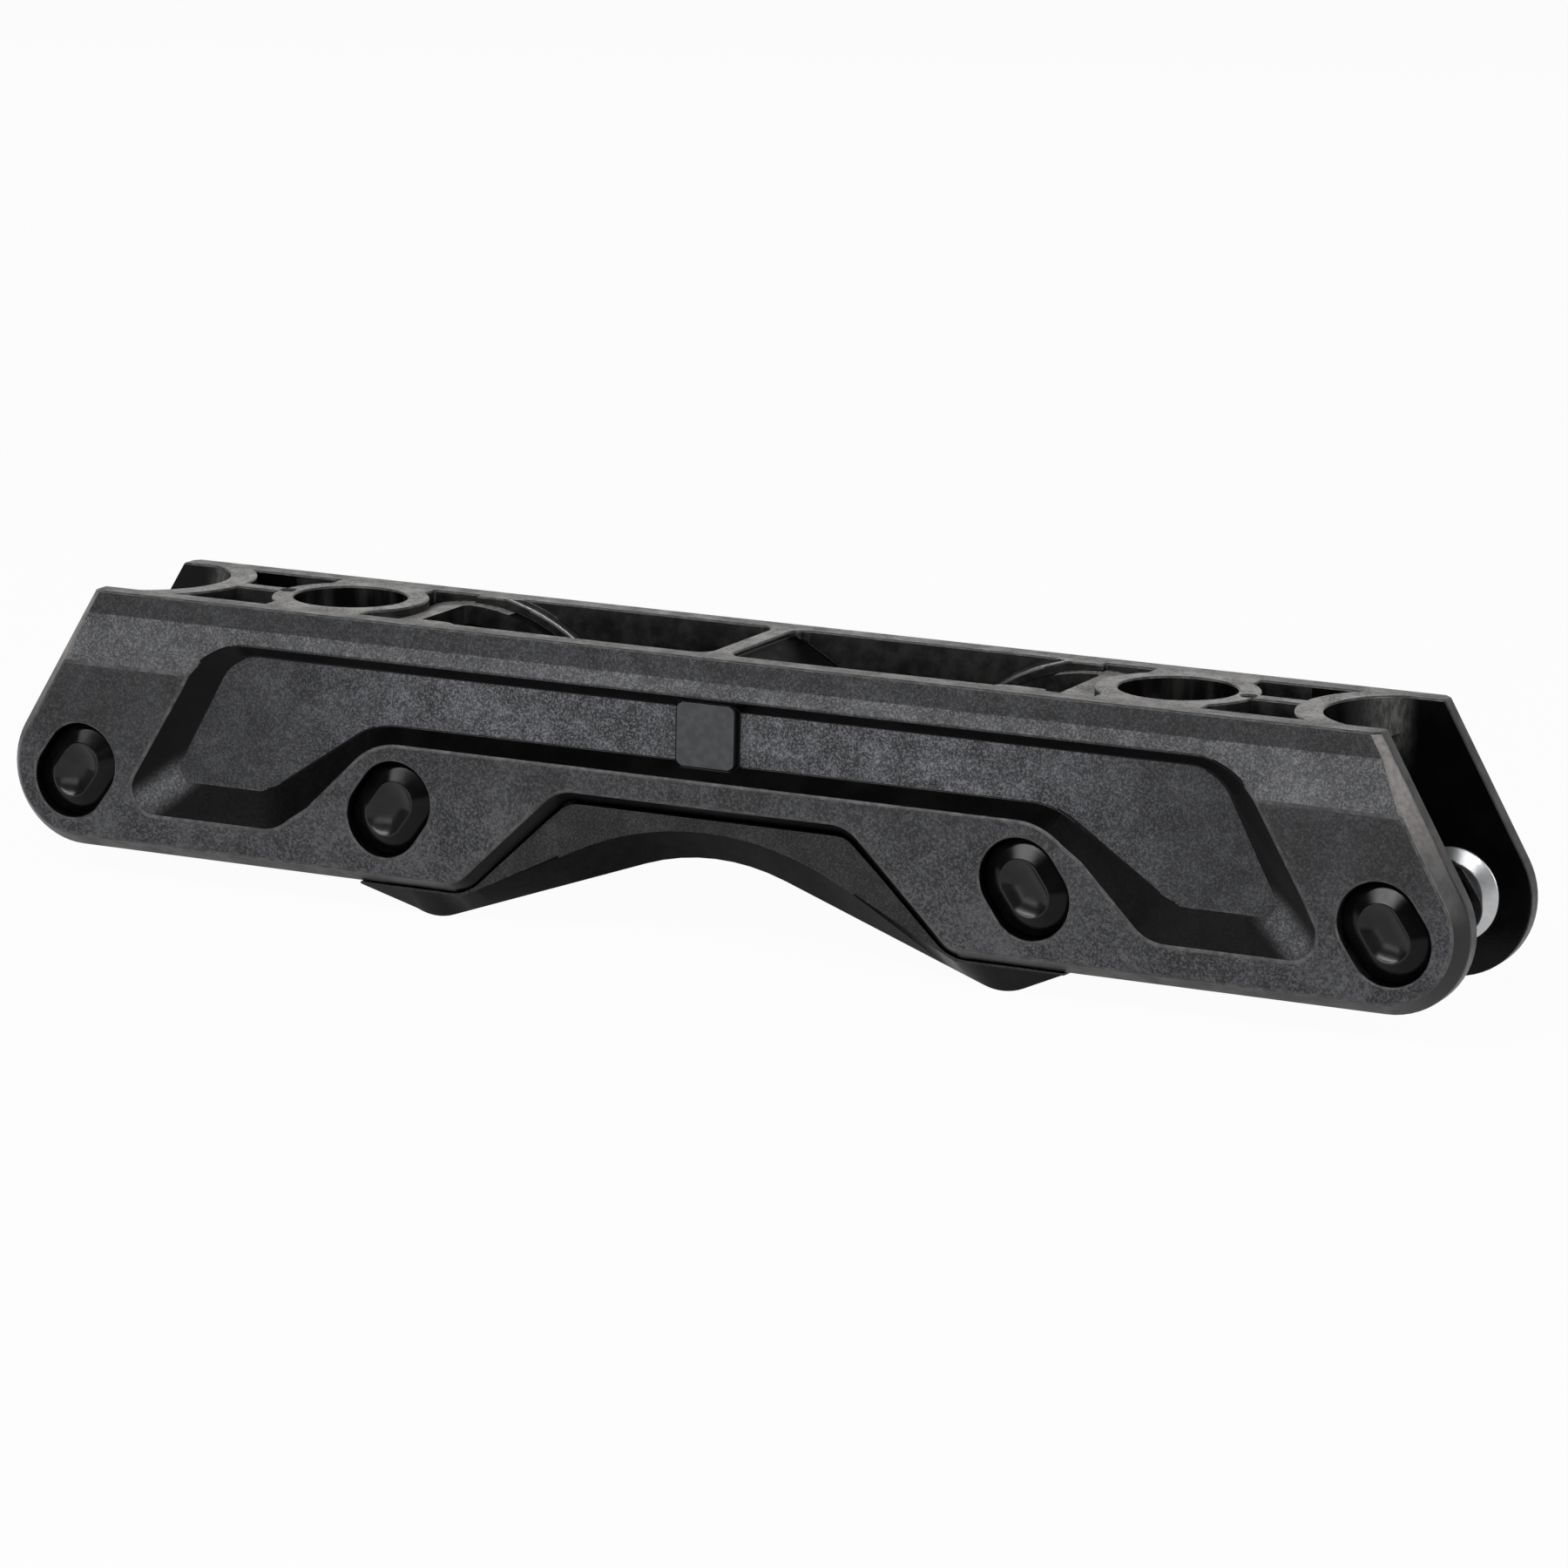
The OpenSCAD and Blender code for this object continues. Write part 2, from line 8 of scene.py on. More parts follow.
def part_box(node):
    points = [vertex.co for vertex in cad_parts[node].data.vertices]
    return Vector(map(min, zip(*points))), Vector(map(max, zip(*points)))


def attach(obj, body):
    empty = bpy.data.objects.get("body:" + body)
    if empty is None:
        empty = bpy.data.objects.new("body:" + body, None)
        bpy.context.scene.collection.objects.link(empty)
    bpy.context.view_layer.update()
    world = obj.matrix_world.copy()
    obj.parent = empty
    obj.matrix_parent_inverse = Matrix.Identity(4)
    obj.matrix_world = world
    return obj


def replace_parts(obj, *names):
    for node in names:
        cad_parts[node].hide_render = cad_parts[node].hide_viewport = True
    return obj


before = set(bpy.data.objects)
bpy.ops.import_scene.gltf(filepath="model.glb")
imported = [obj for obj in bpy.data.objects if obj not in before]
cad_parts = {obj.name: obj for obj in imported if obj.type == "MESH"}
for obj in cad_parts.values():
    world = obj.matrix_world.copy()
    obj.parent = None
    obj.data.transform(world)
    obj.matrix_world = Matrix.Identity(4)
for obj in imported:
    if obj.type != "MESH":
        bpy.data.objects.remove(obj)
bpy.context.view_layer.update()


# FRAME BODY
# One injection moulding of glass-filled nylon: walls, deck, wheel arches and roof in one piece.
# The tool leaves grain on the flats and satin on the bevels, and boots and bolts scuff the deck.
# Some looks also carry painted light: a lighter copy of the grain on the strips that face up, painted
# highlights in the lower corners of the end recesses and in the bites, painted reflections in the
# bores of the sockets, and painted light with the wear on the end lobes.

class Wire:
    """A shader socket that works in sums, and that further nodes are hung on."""

    def __init__(self, socket):
        self.socket = socket

    def node(self, kind, inputs, out=0, **settings):
        tree = self.socket.id_data
        made = tree.nodes.new(kind)
        for key, value in settings.items():
            setattr(made, key, value)
        for key, value in inputs.items():
            if isinstance(value, Wire):
                tree.links.new(value.socket, made.inputs[key])
            else:
                made.inputs[key].default_value = value
        return Wire(made.outputs[out])

    def math(self, operation, *values):
        return self.node("ShaderNodeMath", dict(enumerate(values)), operation=operation)

    def __add__(self, other):
        return self.math("ADD", self, other)

    def __mul__(self, other):
        return self.math("MULTIPLY", self, other)

    def __sub__(self, other):
        return self.math("SUBTRACT", self, other)

    def __rsub__(self, other):
        return self.math("SUBTRACT", other, self)

    def __abs__(self):
        return self.math("ABSOLUTE", self)

    __radd__ = __add__
    __rmul__ = __mul__

    def part(self, axis):
        return self.node("ShaderNodeSeparateXYZ", {0: self}, out="XYZ".index(axis))

    def noise(self, scale, detail=4, rough=0.6, distort=0):
        return self.node("ShaderNodeTexNoise", {
            "Vector": self, "Scale": scale, "Detail": detail, "Roughness": rough,
            "Distortion": distort})

    def stretched(self, scale, turn=(0, 0, 0)):
        return self.node("ShaderNodeMapping", {"Vector": self, "Rotation": turn, "Scale": scale})

    def step(self, low, high, bottom=0.0, top=1.0):
        return self.node("ShaderNodeMapRange", {
            "Value": self, "From Min": low, "From Max": high, "To Min": bottom, "To Max": top},
            interpolation_type="SMOOTHSTEP")

    def tint(self, dark, light):
        factor, colour_a, colour_b, colour_out = 0, 6, 7, 2
        return self.node("ShaderNodeMix", {
            factor: self, colour_a: (*dark, 1), colour_b: (*light, 1)},
            out=colour_out, data_type="RGBA")

    def bump(self, height_mm, strength):
        return self.node("ShaderNodeBump", {
            "Height": self, "Strength": strength, "Distance": height_mm / 1000})


def finish(name, colour, rough, normal=None, **constants):
    """A material whose colour, roughness and bump are made from the piece's own coordinates."""
    made = bpy.data.materials.new(name)
    made.use_nodes = True
    tree = made.node_tree
    shader = tree.nodes["Principled BSDF"]
    place = Wire(tree.nodes.new("ShaderNodeTexCoord").outputs["Object"])
    tree.links.new(colour(place).socket, shader.inputs["Base Color"])
    tree.links.new(rough(place).socket, shader.inputs["Roughness"])
    if normal:
        tree.links.new(normal(place).socket, shader.inputs["Normal"])
    for key, value in constants.items():
        shader.inputs[key.replace("_", " ").title().replace("Ior", "IOR")].default_value = value
    return made


def roughness(low, high, scale=300, detail=4):
    """A roughness that drifts between two values in soft patches."""
    return lambda p: p.noise(scale, detail).step(0.3, 0.7, low, high)


def cloudy(dark, light, scale, detail=5, rough=0.6, low=0.35, high=0.7):
    """A colour that drifts between two tones in soft patches."""
    return lambda p: p.noise(scale, detail, rough).step(low, high).tint(dark, light)


def grain_marks(p, ends=0.7):
    """Speckle, wrinkles and cloudy patches that the tool leaves, from 0 to 1, less at the ends."""
    speck = p.noise(2500, 2, 0.7).step(0.42, 0.60)
    patch = p.noise(110, 6, 0.62, 0.5).step(0.36, 0.64)
    fold = abs(p.noise(480, 5, 0.7, 0.8) - 0.5).step(0.0, 0.05, 0.25, 1.0)
    rubbed = abs(p.part("X")).step(0.045, 0.100, 1.0, ends)
    return (speck * 0.66 + patch * 0.34) * fold * rubbed


def grain_bump(p):
    return (p.noise(2700, 3, 0.7) + p.noise(420, 5, 0.68, 0.8) * 0.7).bump(0.12, 0.6)


def soft_bump(p):
    return p.noise(1600).bump(0.05, 0.35)


grain_rough = roughness(0.44, 0.58, 180, 5)
satin_rough = roughness(0.20, 0.28)
# The grain marks on the walls are made stronger towards the bottom, so the walls are lighter low down.
grained = finish(
    "grained_moulding",
    lambda p: (grain_marks(p) * p.part("Z").step(0.008, 0.036, 1.9, 0.85)).tint(
        (0.008, 0.0082, 0.0088), (0.074, 0.075, 0.081)),
    grain_rough, grain_bump, specular_ior_level=0.28)
mottled = finish(
    "mottled_moulding",
    lambda p: grain_marks(p, 0.32).tint((0.006, 0.0062, 0.0068), (0.158, 0.161, 0.177)),
    grain_rough, grain_bump, specular_ior_level=0.28)
# A lighter copy of the grain for the strips that face up: painted light, for the light that they catch
# from above.
painted_lit_grain = finish(
    "painted_lit_grain_moulding",
    lambda p: grain_marks(p, 0.95).tint((0.026, 0.0263, 0.0275), (0.150, 0.152, 0.160)),
    grain_rough, grain_bump, specular_ior_level=0.28)
corner_x, corner_z = 0.1115, 0.0185
corner_run, corner_fall = 0.77, 0.64


def corner_highlight(p):
    """A painted highlight: a soft light streak down the lower corner of each end recess, from 0 to 1.
    """
    over, up = abs(p.part("X")) - corner_x, p.part("Z") - corner_z
    along = over * corner_run - up * corner_fall
    aside = over * corner_fall + up * corner_run
    streak = abs(aside).step(0.0004, 0.0044, 1.0, 0.0) * abs(along).step(0.003, 0.010, 1.0, 0.0)
    return streak * (grain_marks(p, 1.0) * 0.6 + 0.22)


def faint_cloud(p):
    return p.noise(120).step(0.35, 0.75) * 0.012


satin_and_highlight_tones = (0.0010, 0.0010, 0.0011), (0.170, 0.172, 0.180)
# Satin and tooled both carry the painted corner highlight; the light end of their tones is its colour.
satin = finish(
    "satin_moulding", lambda p: (faint_cloud(p) + corner_highlight(p)).tint(*satin_and_highlight_tones),
    satin_rough, soft_bump, specular_ior_level=0.09)
tooled = finish(
    "tooled_moulding",
    lambda p: (grain_marks(p, 1.0) * 0.022 + corner_highlight(p)).tint(*satin_and_highlight_tones),
    roughness(0.30, 0.40), grain_bump, specular_ior_level=0.045)


def bite_highlight(p):
    """A painted highlight: a soft light band with fine streaks where the bite in each end of the deck
    meets the walls, from 0 to 1.
    """
    end = abs(p.part("X"))
    band = end.step(0.1120, 0.1170) * end.step(0.1172, 0.1222, 1.0, 0.0)
    streaks = p.stretched((1600, 1600, 500)).noise(1, 4, 0.65).step(0.35, 0.65, 0.35, 1.0)
    return band * p.part("Z").step(0.040, 0.050) * streaks


# The hollow look is near black, and its light tone is the painted highlight in the bites.
hollow = finish(
    "hollow_moulding",
    lambda p: (faint_cloud(p) + bite_highlight(p)).tint((0.0012, 0.0012, 0.0012), (0.090, 0.088, 0.086)),
    satin_rough, soft_bump, specular_ior_level=0.11)
moulded = finish(
    "plain_moulding",
    cloudy((0.002, 0.002, 0.002), (0.016, 0.0156, 0.0152), 300, 6, 0.7, 0.38, 0.68),
    roughness(0.34, 0.48, 220, 5), soft_bump, specular_ior_level=0.25)


def chafe_and_painted_light(p):
    """Wear and painted light on the lobes at the ends, from 0 to 1, more towards the deck, where it is
    painted lighter.
    """
    return p.noise(1100).step(0.25, 0.75, 0.55, 1.0) * p.part("Z").step(0.026, 0.048, 0.06, 1.0)


chafed_with_painted_light = finish(
    "chafed_with_painted_light_moulding", lambda p: chafe_and_painted_light(p).tint((0.004, 0.004, 0.004), (0.190, 0.176, 0.171)),
    roughness(0.36, 0.50, 220, 5), soft_bump, specular_ior_level=0.3)
sleek = finish(
    "sleek_moulding", cloudy((0.026, 0.027, 0.029), (0.042, 0.043, 0.046), 600, 4),
    roughness(0.32, 0.40, 260), soft_bump, specular_ior_level=0.4)


# The streaks in the colour of the bores are painted reflections; the roughness follows the same
# streaks.
def bore_sheen_streaks(p):
    return p.stretched((300, 300, 40)).noise(1)


sheen_streaked = finish(
    "sheen_streaked_bore", lambda p: bore_sheen_streaks(p).step(0.45, 0.75).tint(
        (0.0010, 0.0010, 0.0010), (0.014, 0.0137, 0.0133)),
    lambda p: bore_sheen_streaks(p).step(0.3, 0.7, 0.20, 0.28), soft_bump)


def scuffs(p):
    """Patches and fine lines that boots and bolts rub into the deck, stronger along its middle."""
    lines = p.stretched((150, 2200, 400), (0, 0, 0.5)).noise(1).step(0.54, 0.72)
    patch = p.noise(170, 6, 0.68).step(0.38, 0.66)
    speck = p.noise(2400, 2, 0.7).step(0.42, 0.60)
    rubbed = abs(p.part("Y")).step(0.012, 0.016, 1.9, 0.8)
    return (lines * 0.20 + patch * 0.36 + speck * 0.44) * rubbed


scuffed = finish(
    "scuffed_moulding",
    lambda p: scuffs(p).tint((0.014, 0.0135, 0.0128), (0.270, 0.259, 0.246)),
    roughness(0.40, 0.56, 260, 5), grain_bump)
burnished = finish(
    "burnished_moulding", cloudy((0.004, 0.004, 0.004), (0.020, 0.0197, 0.0193), 500, 5, 0.65),
    roughness(0.26, 0.34), soft_bump, specular_ior_level=1.0)
worn = finish(
    "worn_edge",
    cloudy((0.026, 0.026, 0.0265), (0.078, 0.077, 0.077), 420, 6, 0.7, 0.40, 0.66),
    roughness(0.34, 0.46), soft_bump, specular_ior_level=0.35)

weld, straight, flat_bend = 0.000005, 0.9999, math.radians(0.05)
sharp_bend, slight_bend = 23, 5


def cad_copy(node, cuts=()):
    """A CAD node's mesh with each flat made one face, or more where cuts part it."""
    bm = bmesh.new()
    bm.from_mesh(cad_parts[node].data)
    bmesh.ops.remove_doubles(bm, verts=bm.verts, dist=weld)
    for spot, way in cuts:
        flats = [f for f in bm.faces if max(abs(f.normal.y), f.normal.z) > straight]
        lines = list(dict.fromkeys(e for f in flats for e in f.edges))
        points = list(dict.fromkeys(v for e in lines for v in e.verts))
        cut = bmesh.ops.bisect_plane(
            bm, geom=flats + lines + points, dist=weld, plane_co=spot, plane_no=way)["geom_cut"]
        for edge in cut:
            if isinstance(edge, bmesh.types.BMEdge):
                edge.seam = True
    bmesh.ops.dissolve_limit(
        bm, angle_limit=flat_bend, verts=bm.verts, edges=bm.edges, delimit={"SEAM"})
    bm.normal_update()
    return bm


def round_edges(bm, reach, wanted=lambda edge: True):
    """Rounds the wanted sharp edges and shallow creases of walls, and leaves the rest hard."""
    creases = []
    for edge in bm.edges:
        bend = math.degrees(edge.calc_face_angle())
        shallow = bend > slight_bend and all(abs(f.normal.y) > 0.9 for f in edge.link_faces)
        if (bend > sharp_bend or shallow) and wanted(edge):
            creases.append(edge)
        elif bend > sharp_bend:
            edge.smooth = False
    made = bmesh.ops.bevel(bm, geom=creases, offset=reach, offset_type="OFFSET", affect="EDGES",
                           segments=3, profile=0.5, material=-1)
    bm.normal_update()
    return set(made["faces"])


def settle(bm, name, nodes, body, slot, *materials):
    """Makes the mesh a piece that stands for its CAD nodes and rides on a body."""
    for face in bm.faces:
        face.smooth = True
    mesh = bpy.data.meshes.new(name)
    bm.to_mesh(mesh)
    bm.free()
    obj = bpy.data.objects.new(name, mesh)
    bpy.context.scene.collection.objects.link(obj)
    for material in materials:
        mesh.materials.append(material)
    obj.modifiers.new("even_normals", "WEIGHTED_NORMAL").keep_sharp = True
    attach(obj, body)
    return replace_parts(obj, *nodes)


inner_x, outer_x, mount_x = 0.063, 0.1295, 0.0825
cut_xs = (0.022, inner_x, 0.0705, 0.102, outer_x)
cuts = [((0, 0, 0), (0, 1, 0))] + [
    ((x * hand, 0, 0), (1, 0, 0)) for x in cut_xs for hand in (-1, 1)]
shell = cad_copy("frame_body", cuts)
far_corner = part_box("frame_body")[1]
axle_low, axle_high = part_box("axle_screw_1")
axle_z = (axle_low.z + axle_high.z) / 2

# The bead over each inner wheel has a rounded crest, and its root stays as it is.
bead_r, crest_y, root_y = 0.0355, 0.0127, 0.0142
near_r, near_y = 0.0002, 0.0001
crest_round, edge_round = 0.0012, 0.00035
crests, roots = [], []
for edge in shell.edges:
    reach = [math.hypot(abs(v.co.x) - inner_x, v.co.z - axle_z) for v in edge.verts]
    if all(abs(r - bead_r) < near_r for r in reach):
        if all(abs(abs(v.co.y) - root_y) < near_y for v in edge.verts):
            roots.append(edge)
        elif all(abs(abs(v.co.y) - crest_y) < near_y for v in edge.verts):
            crests.append(edge)
made = bmesh.ops.bevel(shell, geom=crests, offset=crest_round, offset_type="OFFSET",
                       affect="EDGES", segments=6, profile=0.5, material=-1)
beads = set(made["faces"])
shell.normal_update()
bead_edges = {edge for face in beads for edge in face.edges}
inner_y, deck_edge = 0.0125, 0.001


def shows(edge):
    """Whether an edge is off the beads and lies on the walls or round the top of the deck."""
    return edge not in roots and edge not in bead_edges and any(
        abs(v.co.y) > inner_y or v.co.z > far_corner.z - deck_edge for v in edge.verts)


rounded = round_edges(shell, edge_round, shows)
looks = [satin, grained, mottled, painted_lit_grain, hollow, moulded, tooled,
         chafed_with_painted_light, sleek, sheen_streaked, scuffed, burnished, worn]

# One look gives way to the next at these places: in from the top and the outside, across the
# frame, along it, above the axles, at the pad, and round the bites and the boot's sockets.
worn_top, worn_side, deck_band = 0.0006, 0.0005, 0.0025
lining_y, skin_y, panel_y = 0.0135, 0.0143, 0.0165
lobe_y, recess_y, wall_y = 0.0172, 0.0175, 0.0189
arch_x, recess_x, lining_x, lobe_x = 0.050, 0.066, 0.100, 0.112
arch_rise, tooled_rise, painted_lit_rise = -0.010, 0.012, 0.018
pad_x, pad_low_y, pad_high_y, pad_rise = 0.0065, 0.0183, 0.0188, 0.027
bite_x, bite_r, bite_slack, socket_r = 0.12656, 0.016, 0.0003, 0.0112


def body_look(face):
    """The look of a face of the body, by where it lies and which way it points."""
    mid, out = face.calc_center_median(), face.normal
    side, end, rise = abs(mid.y), abs(mid.x), mid.z - axle_z
    outward = out.x * math.copysign(1, mid.x)
    if face in beads:
        return burnished
    if face in rounded and (mid.z > far_corner.z - worn_top or side > far_corner.y - worn_side):
        return worn
    if out.z > 0.9 and mid.z > far_corner.z - deck_band:
        return scuffed
    if abs(out.y) > 0.93 and abs(out.x) < 0.05 and side > panel_y:
        if end < pad_x and pad_low_y < side < pad_high_y and rise < pad_rise:
            return sleek
        # Strips that face up high on the wall get the painted light copy of the grain.
        if out.z > 0.1 and rise > painted_lit_rise:
            return painted_lit_grain
        if side < recess_y:
            return mottled
        if side > wall_y:
            return grained
    if abs(math.hypot(end - bite_x, mid.y) - bite_r) < bite_slack and abs(out.z) < 0.3:
        return hollow
    if side > skin_y:
        if outward > 0.01 and end > lobe_x and abs(out.y) > 0.3 and side > lobe_y:
            return chafed_with_painted_light
        under_arch = out.z < 0 and rise < arch_rise and end > arch_x and side > lobe_y
        if under_arch or outward > 0.5 and end > lobe_x:
            return moulded
        return tooled if out.z > 0.15 and rise < tooled_rise and end > recess_x else satin
    if math.hypot(end - mount_x, mid.y) < socket_r and abs(out.z) < 0.5:
        return sheen_streaked
    if abs(out.y) > 0.9 and side > lining_y and end > lining_x:
        return hollow
    return satin if out.z > 0.15 else moulded


for face in shell.faces:
    face.material_index = looks.index(body_look(face))
settle(shell, "frame_body_moulding", ["frame_body"], "frame", "moulding", *looks)


# GRIND BLOCK
# Separate moulding of harder, slick plastic between the inner wheels, let into a notch of each wall.
# It takes the wear of sliding on rails, so it is screwed on from below and can be changed.

slick = finish(
    "slick_moulding",
    lambda p: grain_marks(p).tint((0.005, 0.005, 0.0052), (0.041, 0.0415, 0.043)),
    grain_rough, grain_bump, specular_ior_level=0.2)
rubbed_black = finish(
    "rubbed_black",
    cloudy((0.0010, 0.0010, 0.0010), (0.0050, 0.0049, 0.0048), 400, 5, 0.65, high=0.75),
    satin_rough, soft_bump, specular_ior_level=0.04)
lip_y, lip_rise = 0.0142, 0.0002
cheek_x, cheek_y = 0.044, 0.0155
block = cad_copy("grind_block")
seam_lips = dict.fromkeys(
    v for f in block.faces if f.normal.z > 0.3 and abs(f.calc_center_median().y) > lip_y
    for v in f.verts)
bmesh.ops.translate(block, vec=(0, 0, lip_rise), verts=list(seam_lips))
round_edges(block, edge_round, lambda edge: all(
    abs(v.co.x) < cheek_x and abs(v.co.y) > cheek_y for v in edge.verts))
for face in block.faces:
    if abs(face.normal.y) > 0.93 and abs(face.calc_center_median().y) > panel_y:
        face.material_index = 1
settle(block, "grind_block_moulding", ["grind_block"], "frame", "block", rubbed_black, slick)


# BLOCK INSERTS AND SCREWS
# Knurled brass inserts melted into two bosses of the body, and black steel screws from below.
# They sit deep under the roof and in the counterbores of the block.

metal_patch, metal_grain = 260, 700
insert_round, screw_round = 0.0001, 0.00015
brass = finish("turned_brass", cloudy((0.42, 0.29, 0.10), (0.55, 0.40, 0.16), metal_patch),
               roughness(0.28, 0.42, metal_grain), metallic=1.0)
oxide = finish("black_oxide_steel", cloudy((0.045, 0.045, 0.05), (0.11, 0.11, 0.115), metal_patch),
               roughness(0.30, 0.46, metal_grain), metallic=1.0)
for i in (1, 2):
    piece = cad_copy(f"block_insert_{i}")
    round_edges(piece, insert_round)
    settle(piece, f"block_insert_{i}_brass", [f"block_insert_{i}"], "frame", "insert", brass)
    piece = cad_copy(f"block_screw_{i}")
    round_edges(piece, screw_round)
    settle(piece, f"block_screw_{i}_steel", [f"block_screw_{i}"], "frame", "screw", oxide)


# BUSHES
# Turned aluminium bushes with a polished conical flange, pressed into both walls at each axle.
# They carry the sleeve and hold the wheel bearing off the wall.

axle_xs = (-outer_x, -inner_x, inner_x, outer_x)
walls = (("near", -1), ("far", 1))
oval_lean, oval_sides, oval_weld = math.radians(35), 64, 0.000001


def oval_loft(x, rings, closed):
    """A skin over leaning ovals about the axle at x: radius, stretch and place across, in mm."""
    bm = bmesh.new()
    hub = Vector((x, 0, axle_z))
    turn = Matrix.Rotation(-math.copysign(oval_lean, x), 4, "Y")
    lean = turn.to_3x3() @ Vector((0, 0, 1))
    stand = Matrix.Rotation(math.pi / 2, 4, "X") @ Matrix.Rotation(math.pi / oval_sides, 4, "Z")
    was = (rings[0][0], 0, 0)
    ring = bmesh.ops.create_circle(bm, segments=oval_sides, radius=was[0] / 1000,
                                   matrix=Matrix.Translation(hub) @ turn @ stand)["verts"]
    first = loop = bm.edges[:]
    for step, now in enumerate(list(rings) + list(rings[:1]) * closed):
        if step:
            made = bmesh.ops.extrude_edge_only(bm, edges=loop)["geom"]
            ring = [g for g in made if isinstance(g, bmesh.types.BMVert)]
            loop = [g for g in made if isinstance(g, bmesh.types.BMEdge)]
        for half in (1, -1):
            verts = [v for v in ring if (v.co - hub).dot(lean) * half > 0]
            grow = now[0] / was[0]
            bmesh.ops.scale(bm, vec=(grow, 1, grow), verts=verts,
                            space=Matrix.Translation(-hub - lean * half * was[1] / 2000))
            along = lean * half * (now[1] - was[1]) / 2000
            across = Vector((0, now[2] - was[2], 0)) / 1000
            bmesh.ops.translate(bm, vec=along + across, verts=verts)
        was = now
    if closed:
        bmesh.ops.remove_doubles(bm, verts=bm.verts, dist=oval_weld)
    else:
        bmesh.ops.contextual_create(bm, geom=first)
        bmesh.ops.contextual_create(bm, geom=loop)
    bmesh.ops.recalc_face_normals(bm, faces=bm.faces)
    return bm


bush_rings = (
    (4.05, 12.75), (4.2, 12.6), (5.95, 12.6), (6.1, 12.63), (6.25, 12.7), (8.35, 13.78),
    (8.5, 13.86), (8.6, 13.95), (8.6, 14.12), (8.52, 14.2), (5.5, 14.2), (5.5, 17.2),
    (5.4, 17.3), (4.15, 17.3), (4.05, 17.2),
)
polished = finish("polished_aluminium", cloudy((0.42, 0.43, 0.44), (0.54, 0.55, 0.56), metal_patch),
                  roughness(0.32, 0.38, 900, 3), metallic=1.0)
for i, x in enumerate(axle_xs, 1):
    for side, hand in walls:
        piece = oval_loft(x, [(radius, 0, hand * across) for radius, across in bush_rings], True)
        settle(piece, f"bush_{side}_{i}_turned", [f"bush_{side}_{i}"], "frame", "bush", polished)


# SPACERS
# Thin oval plates of black anodised aluminium that lie between the bushes and the wheel bearings.
# They are stamped, with rolled edges, and slide on the sleeve.

spacer_rings = (
    (4.05, 0, 12.0), (4.15, 0, 11.9), (4.85, 4.4, 11.9), (4.96, 4.4, 11.95), (5.0, 4.4, 12.05),
    (5.0, 4.4, 12.45), (4.96, 4.4, 12.55), (4.85, 4.4, 12.6), (4.15, 0, 12.6), (4.05, 0, 12.5),
)
anodised = finish(
    "black_anodised", cloudy((0.006, 0.006, 0.0065), (0.012, 0.012, 0.013), metal_patch),
    roughness(0.22, 0.32, metal_grain), specular_ior_level=0.4)
for i, x in enumerate(axle_xs, 1):
    for side, hand in walls:
        piece = oval_loft(x, [(radius, stretch, hand * across)
                              for radius, stretch, across in spacer_rings], True)
        settle(piece, f"spacer_{side}_{i}_plate", [f"spacer_{side}_{i}"], "frame", "spacer", anodised)


# AXLES
# Hollow sleeves with an oval head that keys into the near wall: a polished cone round a dished middle.
# They are turned and milled from aluminium, anodised gloss black, and tapped at the far end.

dish_r, dish_step, dish_stretch, dish_floor, dish_curve = 3.2, 0.4, 3.12, 19.032, 0.0944


def dish_ring(step):
    """A ring of the dish, step by step in from its rim: a shallow bowl that grows less oval."""
    radius = dish_r - dish_step * step
    stretch = dish_stretch - step * (0.11 + 0.01 * step)
    return radius, stretch, -round(dish_floor + dish_curve * radius ** 2, 2)


axle_rings = (
    (2.6, 0, -5.3), (2.6, 0, 16.3), (2.95, 0, 16.7), (3.7, 0, 16.7), (3.92, 0, 16.6),
    (4.0, 0, 16.4), (4.0, 0, -16.9), (4.0, 0, -17.3), (6.95, 3.8, -17.3), (7.09, 3.8, -17.36),
    (7.15, 3.8, -17.5), (7.15, 3.8, -18.2), (7.12, 3.8, -18.36), (7.03, 3.79, -18.48),
    (6.9, 3.78, -18.58), (5.9, 3.58, -19.14), (4.9, 3.39, -19.7), (4.1, 3.23, -20.15),
    (3.92, 3.2, -20.25), (3.8, 3.2, -20.29), (3.68, 3.2, -20.3), (3.58, 3.2, -20.26),
    (3.44, 3.18, -20.15), *(dish_ring(step) for step in range(7)), (0.4, 1.9, -19.05),
)
dished_y, dished_r, dished_half = -0.0186, 0.00395, 0.0016


def oval_reach(spot, x):
    """How far a spot lies from the middle line of the leaning oval that the dish follows."""
    lean = Vector((-math.copysign(math.sin(oval_lean), x), 0, math.cos(oval_lean)))
    flat = Vector((spot.x, 0, spot.z))
    return (flat - lean * max(-dished_half, min(dished_half, flat.dot(lean)))).length


gloss = finish(
    "gloss_black", cloudy((0.0015, 0.0015, 0.0017), (0.0035, 0.0035, 0.0038), metal_patch),
    roughness(0.15, 0.19, metal_grain), specular_ior_level=0.13)
dished = finish(
    "dished_black", cloudy((0.003, 0.003, 0.0033), (0.008, 0.008, 0.0085), metal_patch),
    roughness(0.20, 0.25, metal_grain), specular_ior_level=0.26)
for i, x in enumerate(axle_xs, 1):
    piece = oval_loft(x, axle_rings, False)
    for face in piece.faces:
        out = face.calc_center_median() - Vector((x, 0, axle_z))
        if out.y < dished_y and oval_reach(out, x) < dished_r:
            face.material_index = 1
    settle(piece, f"axle_{i}_sleeve", [f"axle_{i}"], f"axle_{i}", "axle", gloss, dished)


# AXLE SCREWS
# Low domed screws of black steel with a hexagon socket, in the far ends of the sleeves.
# Their heads bear on the far wall and draw the sleeve tight.

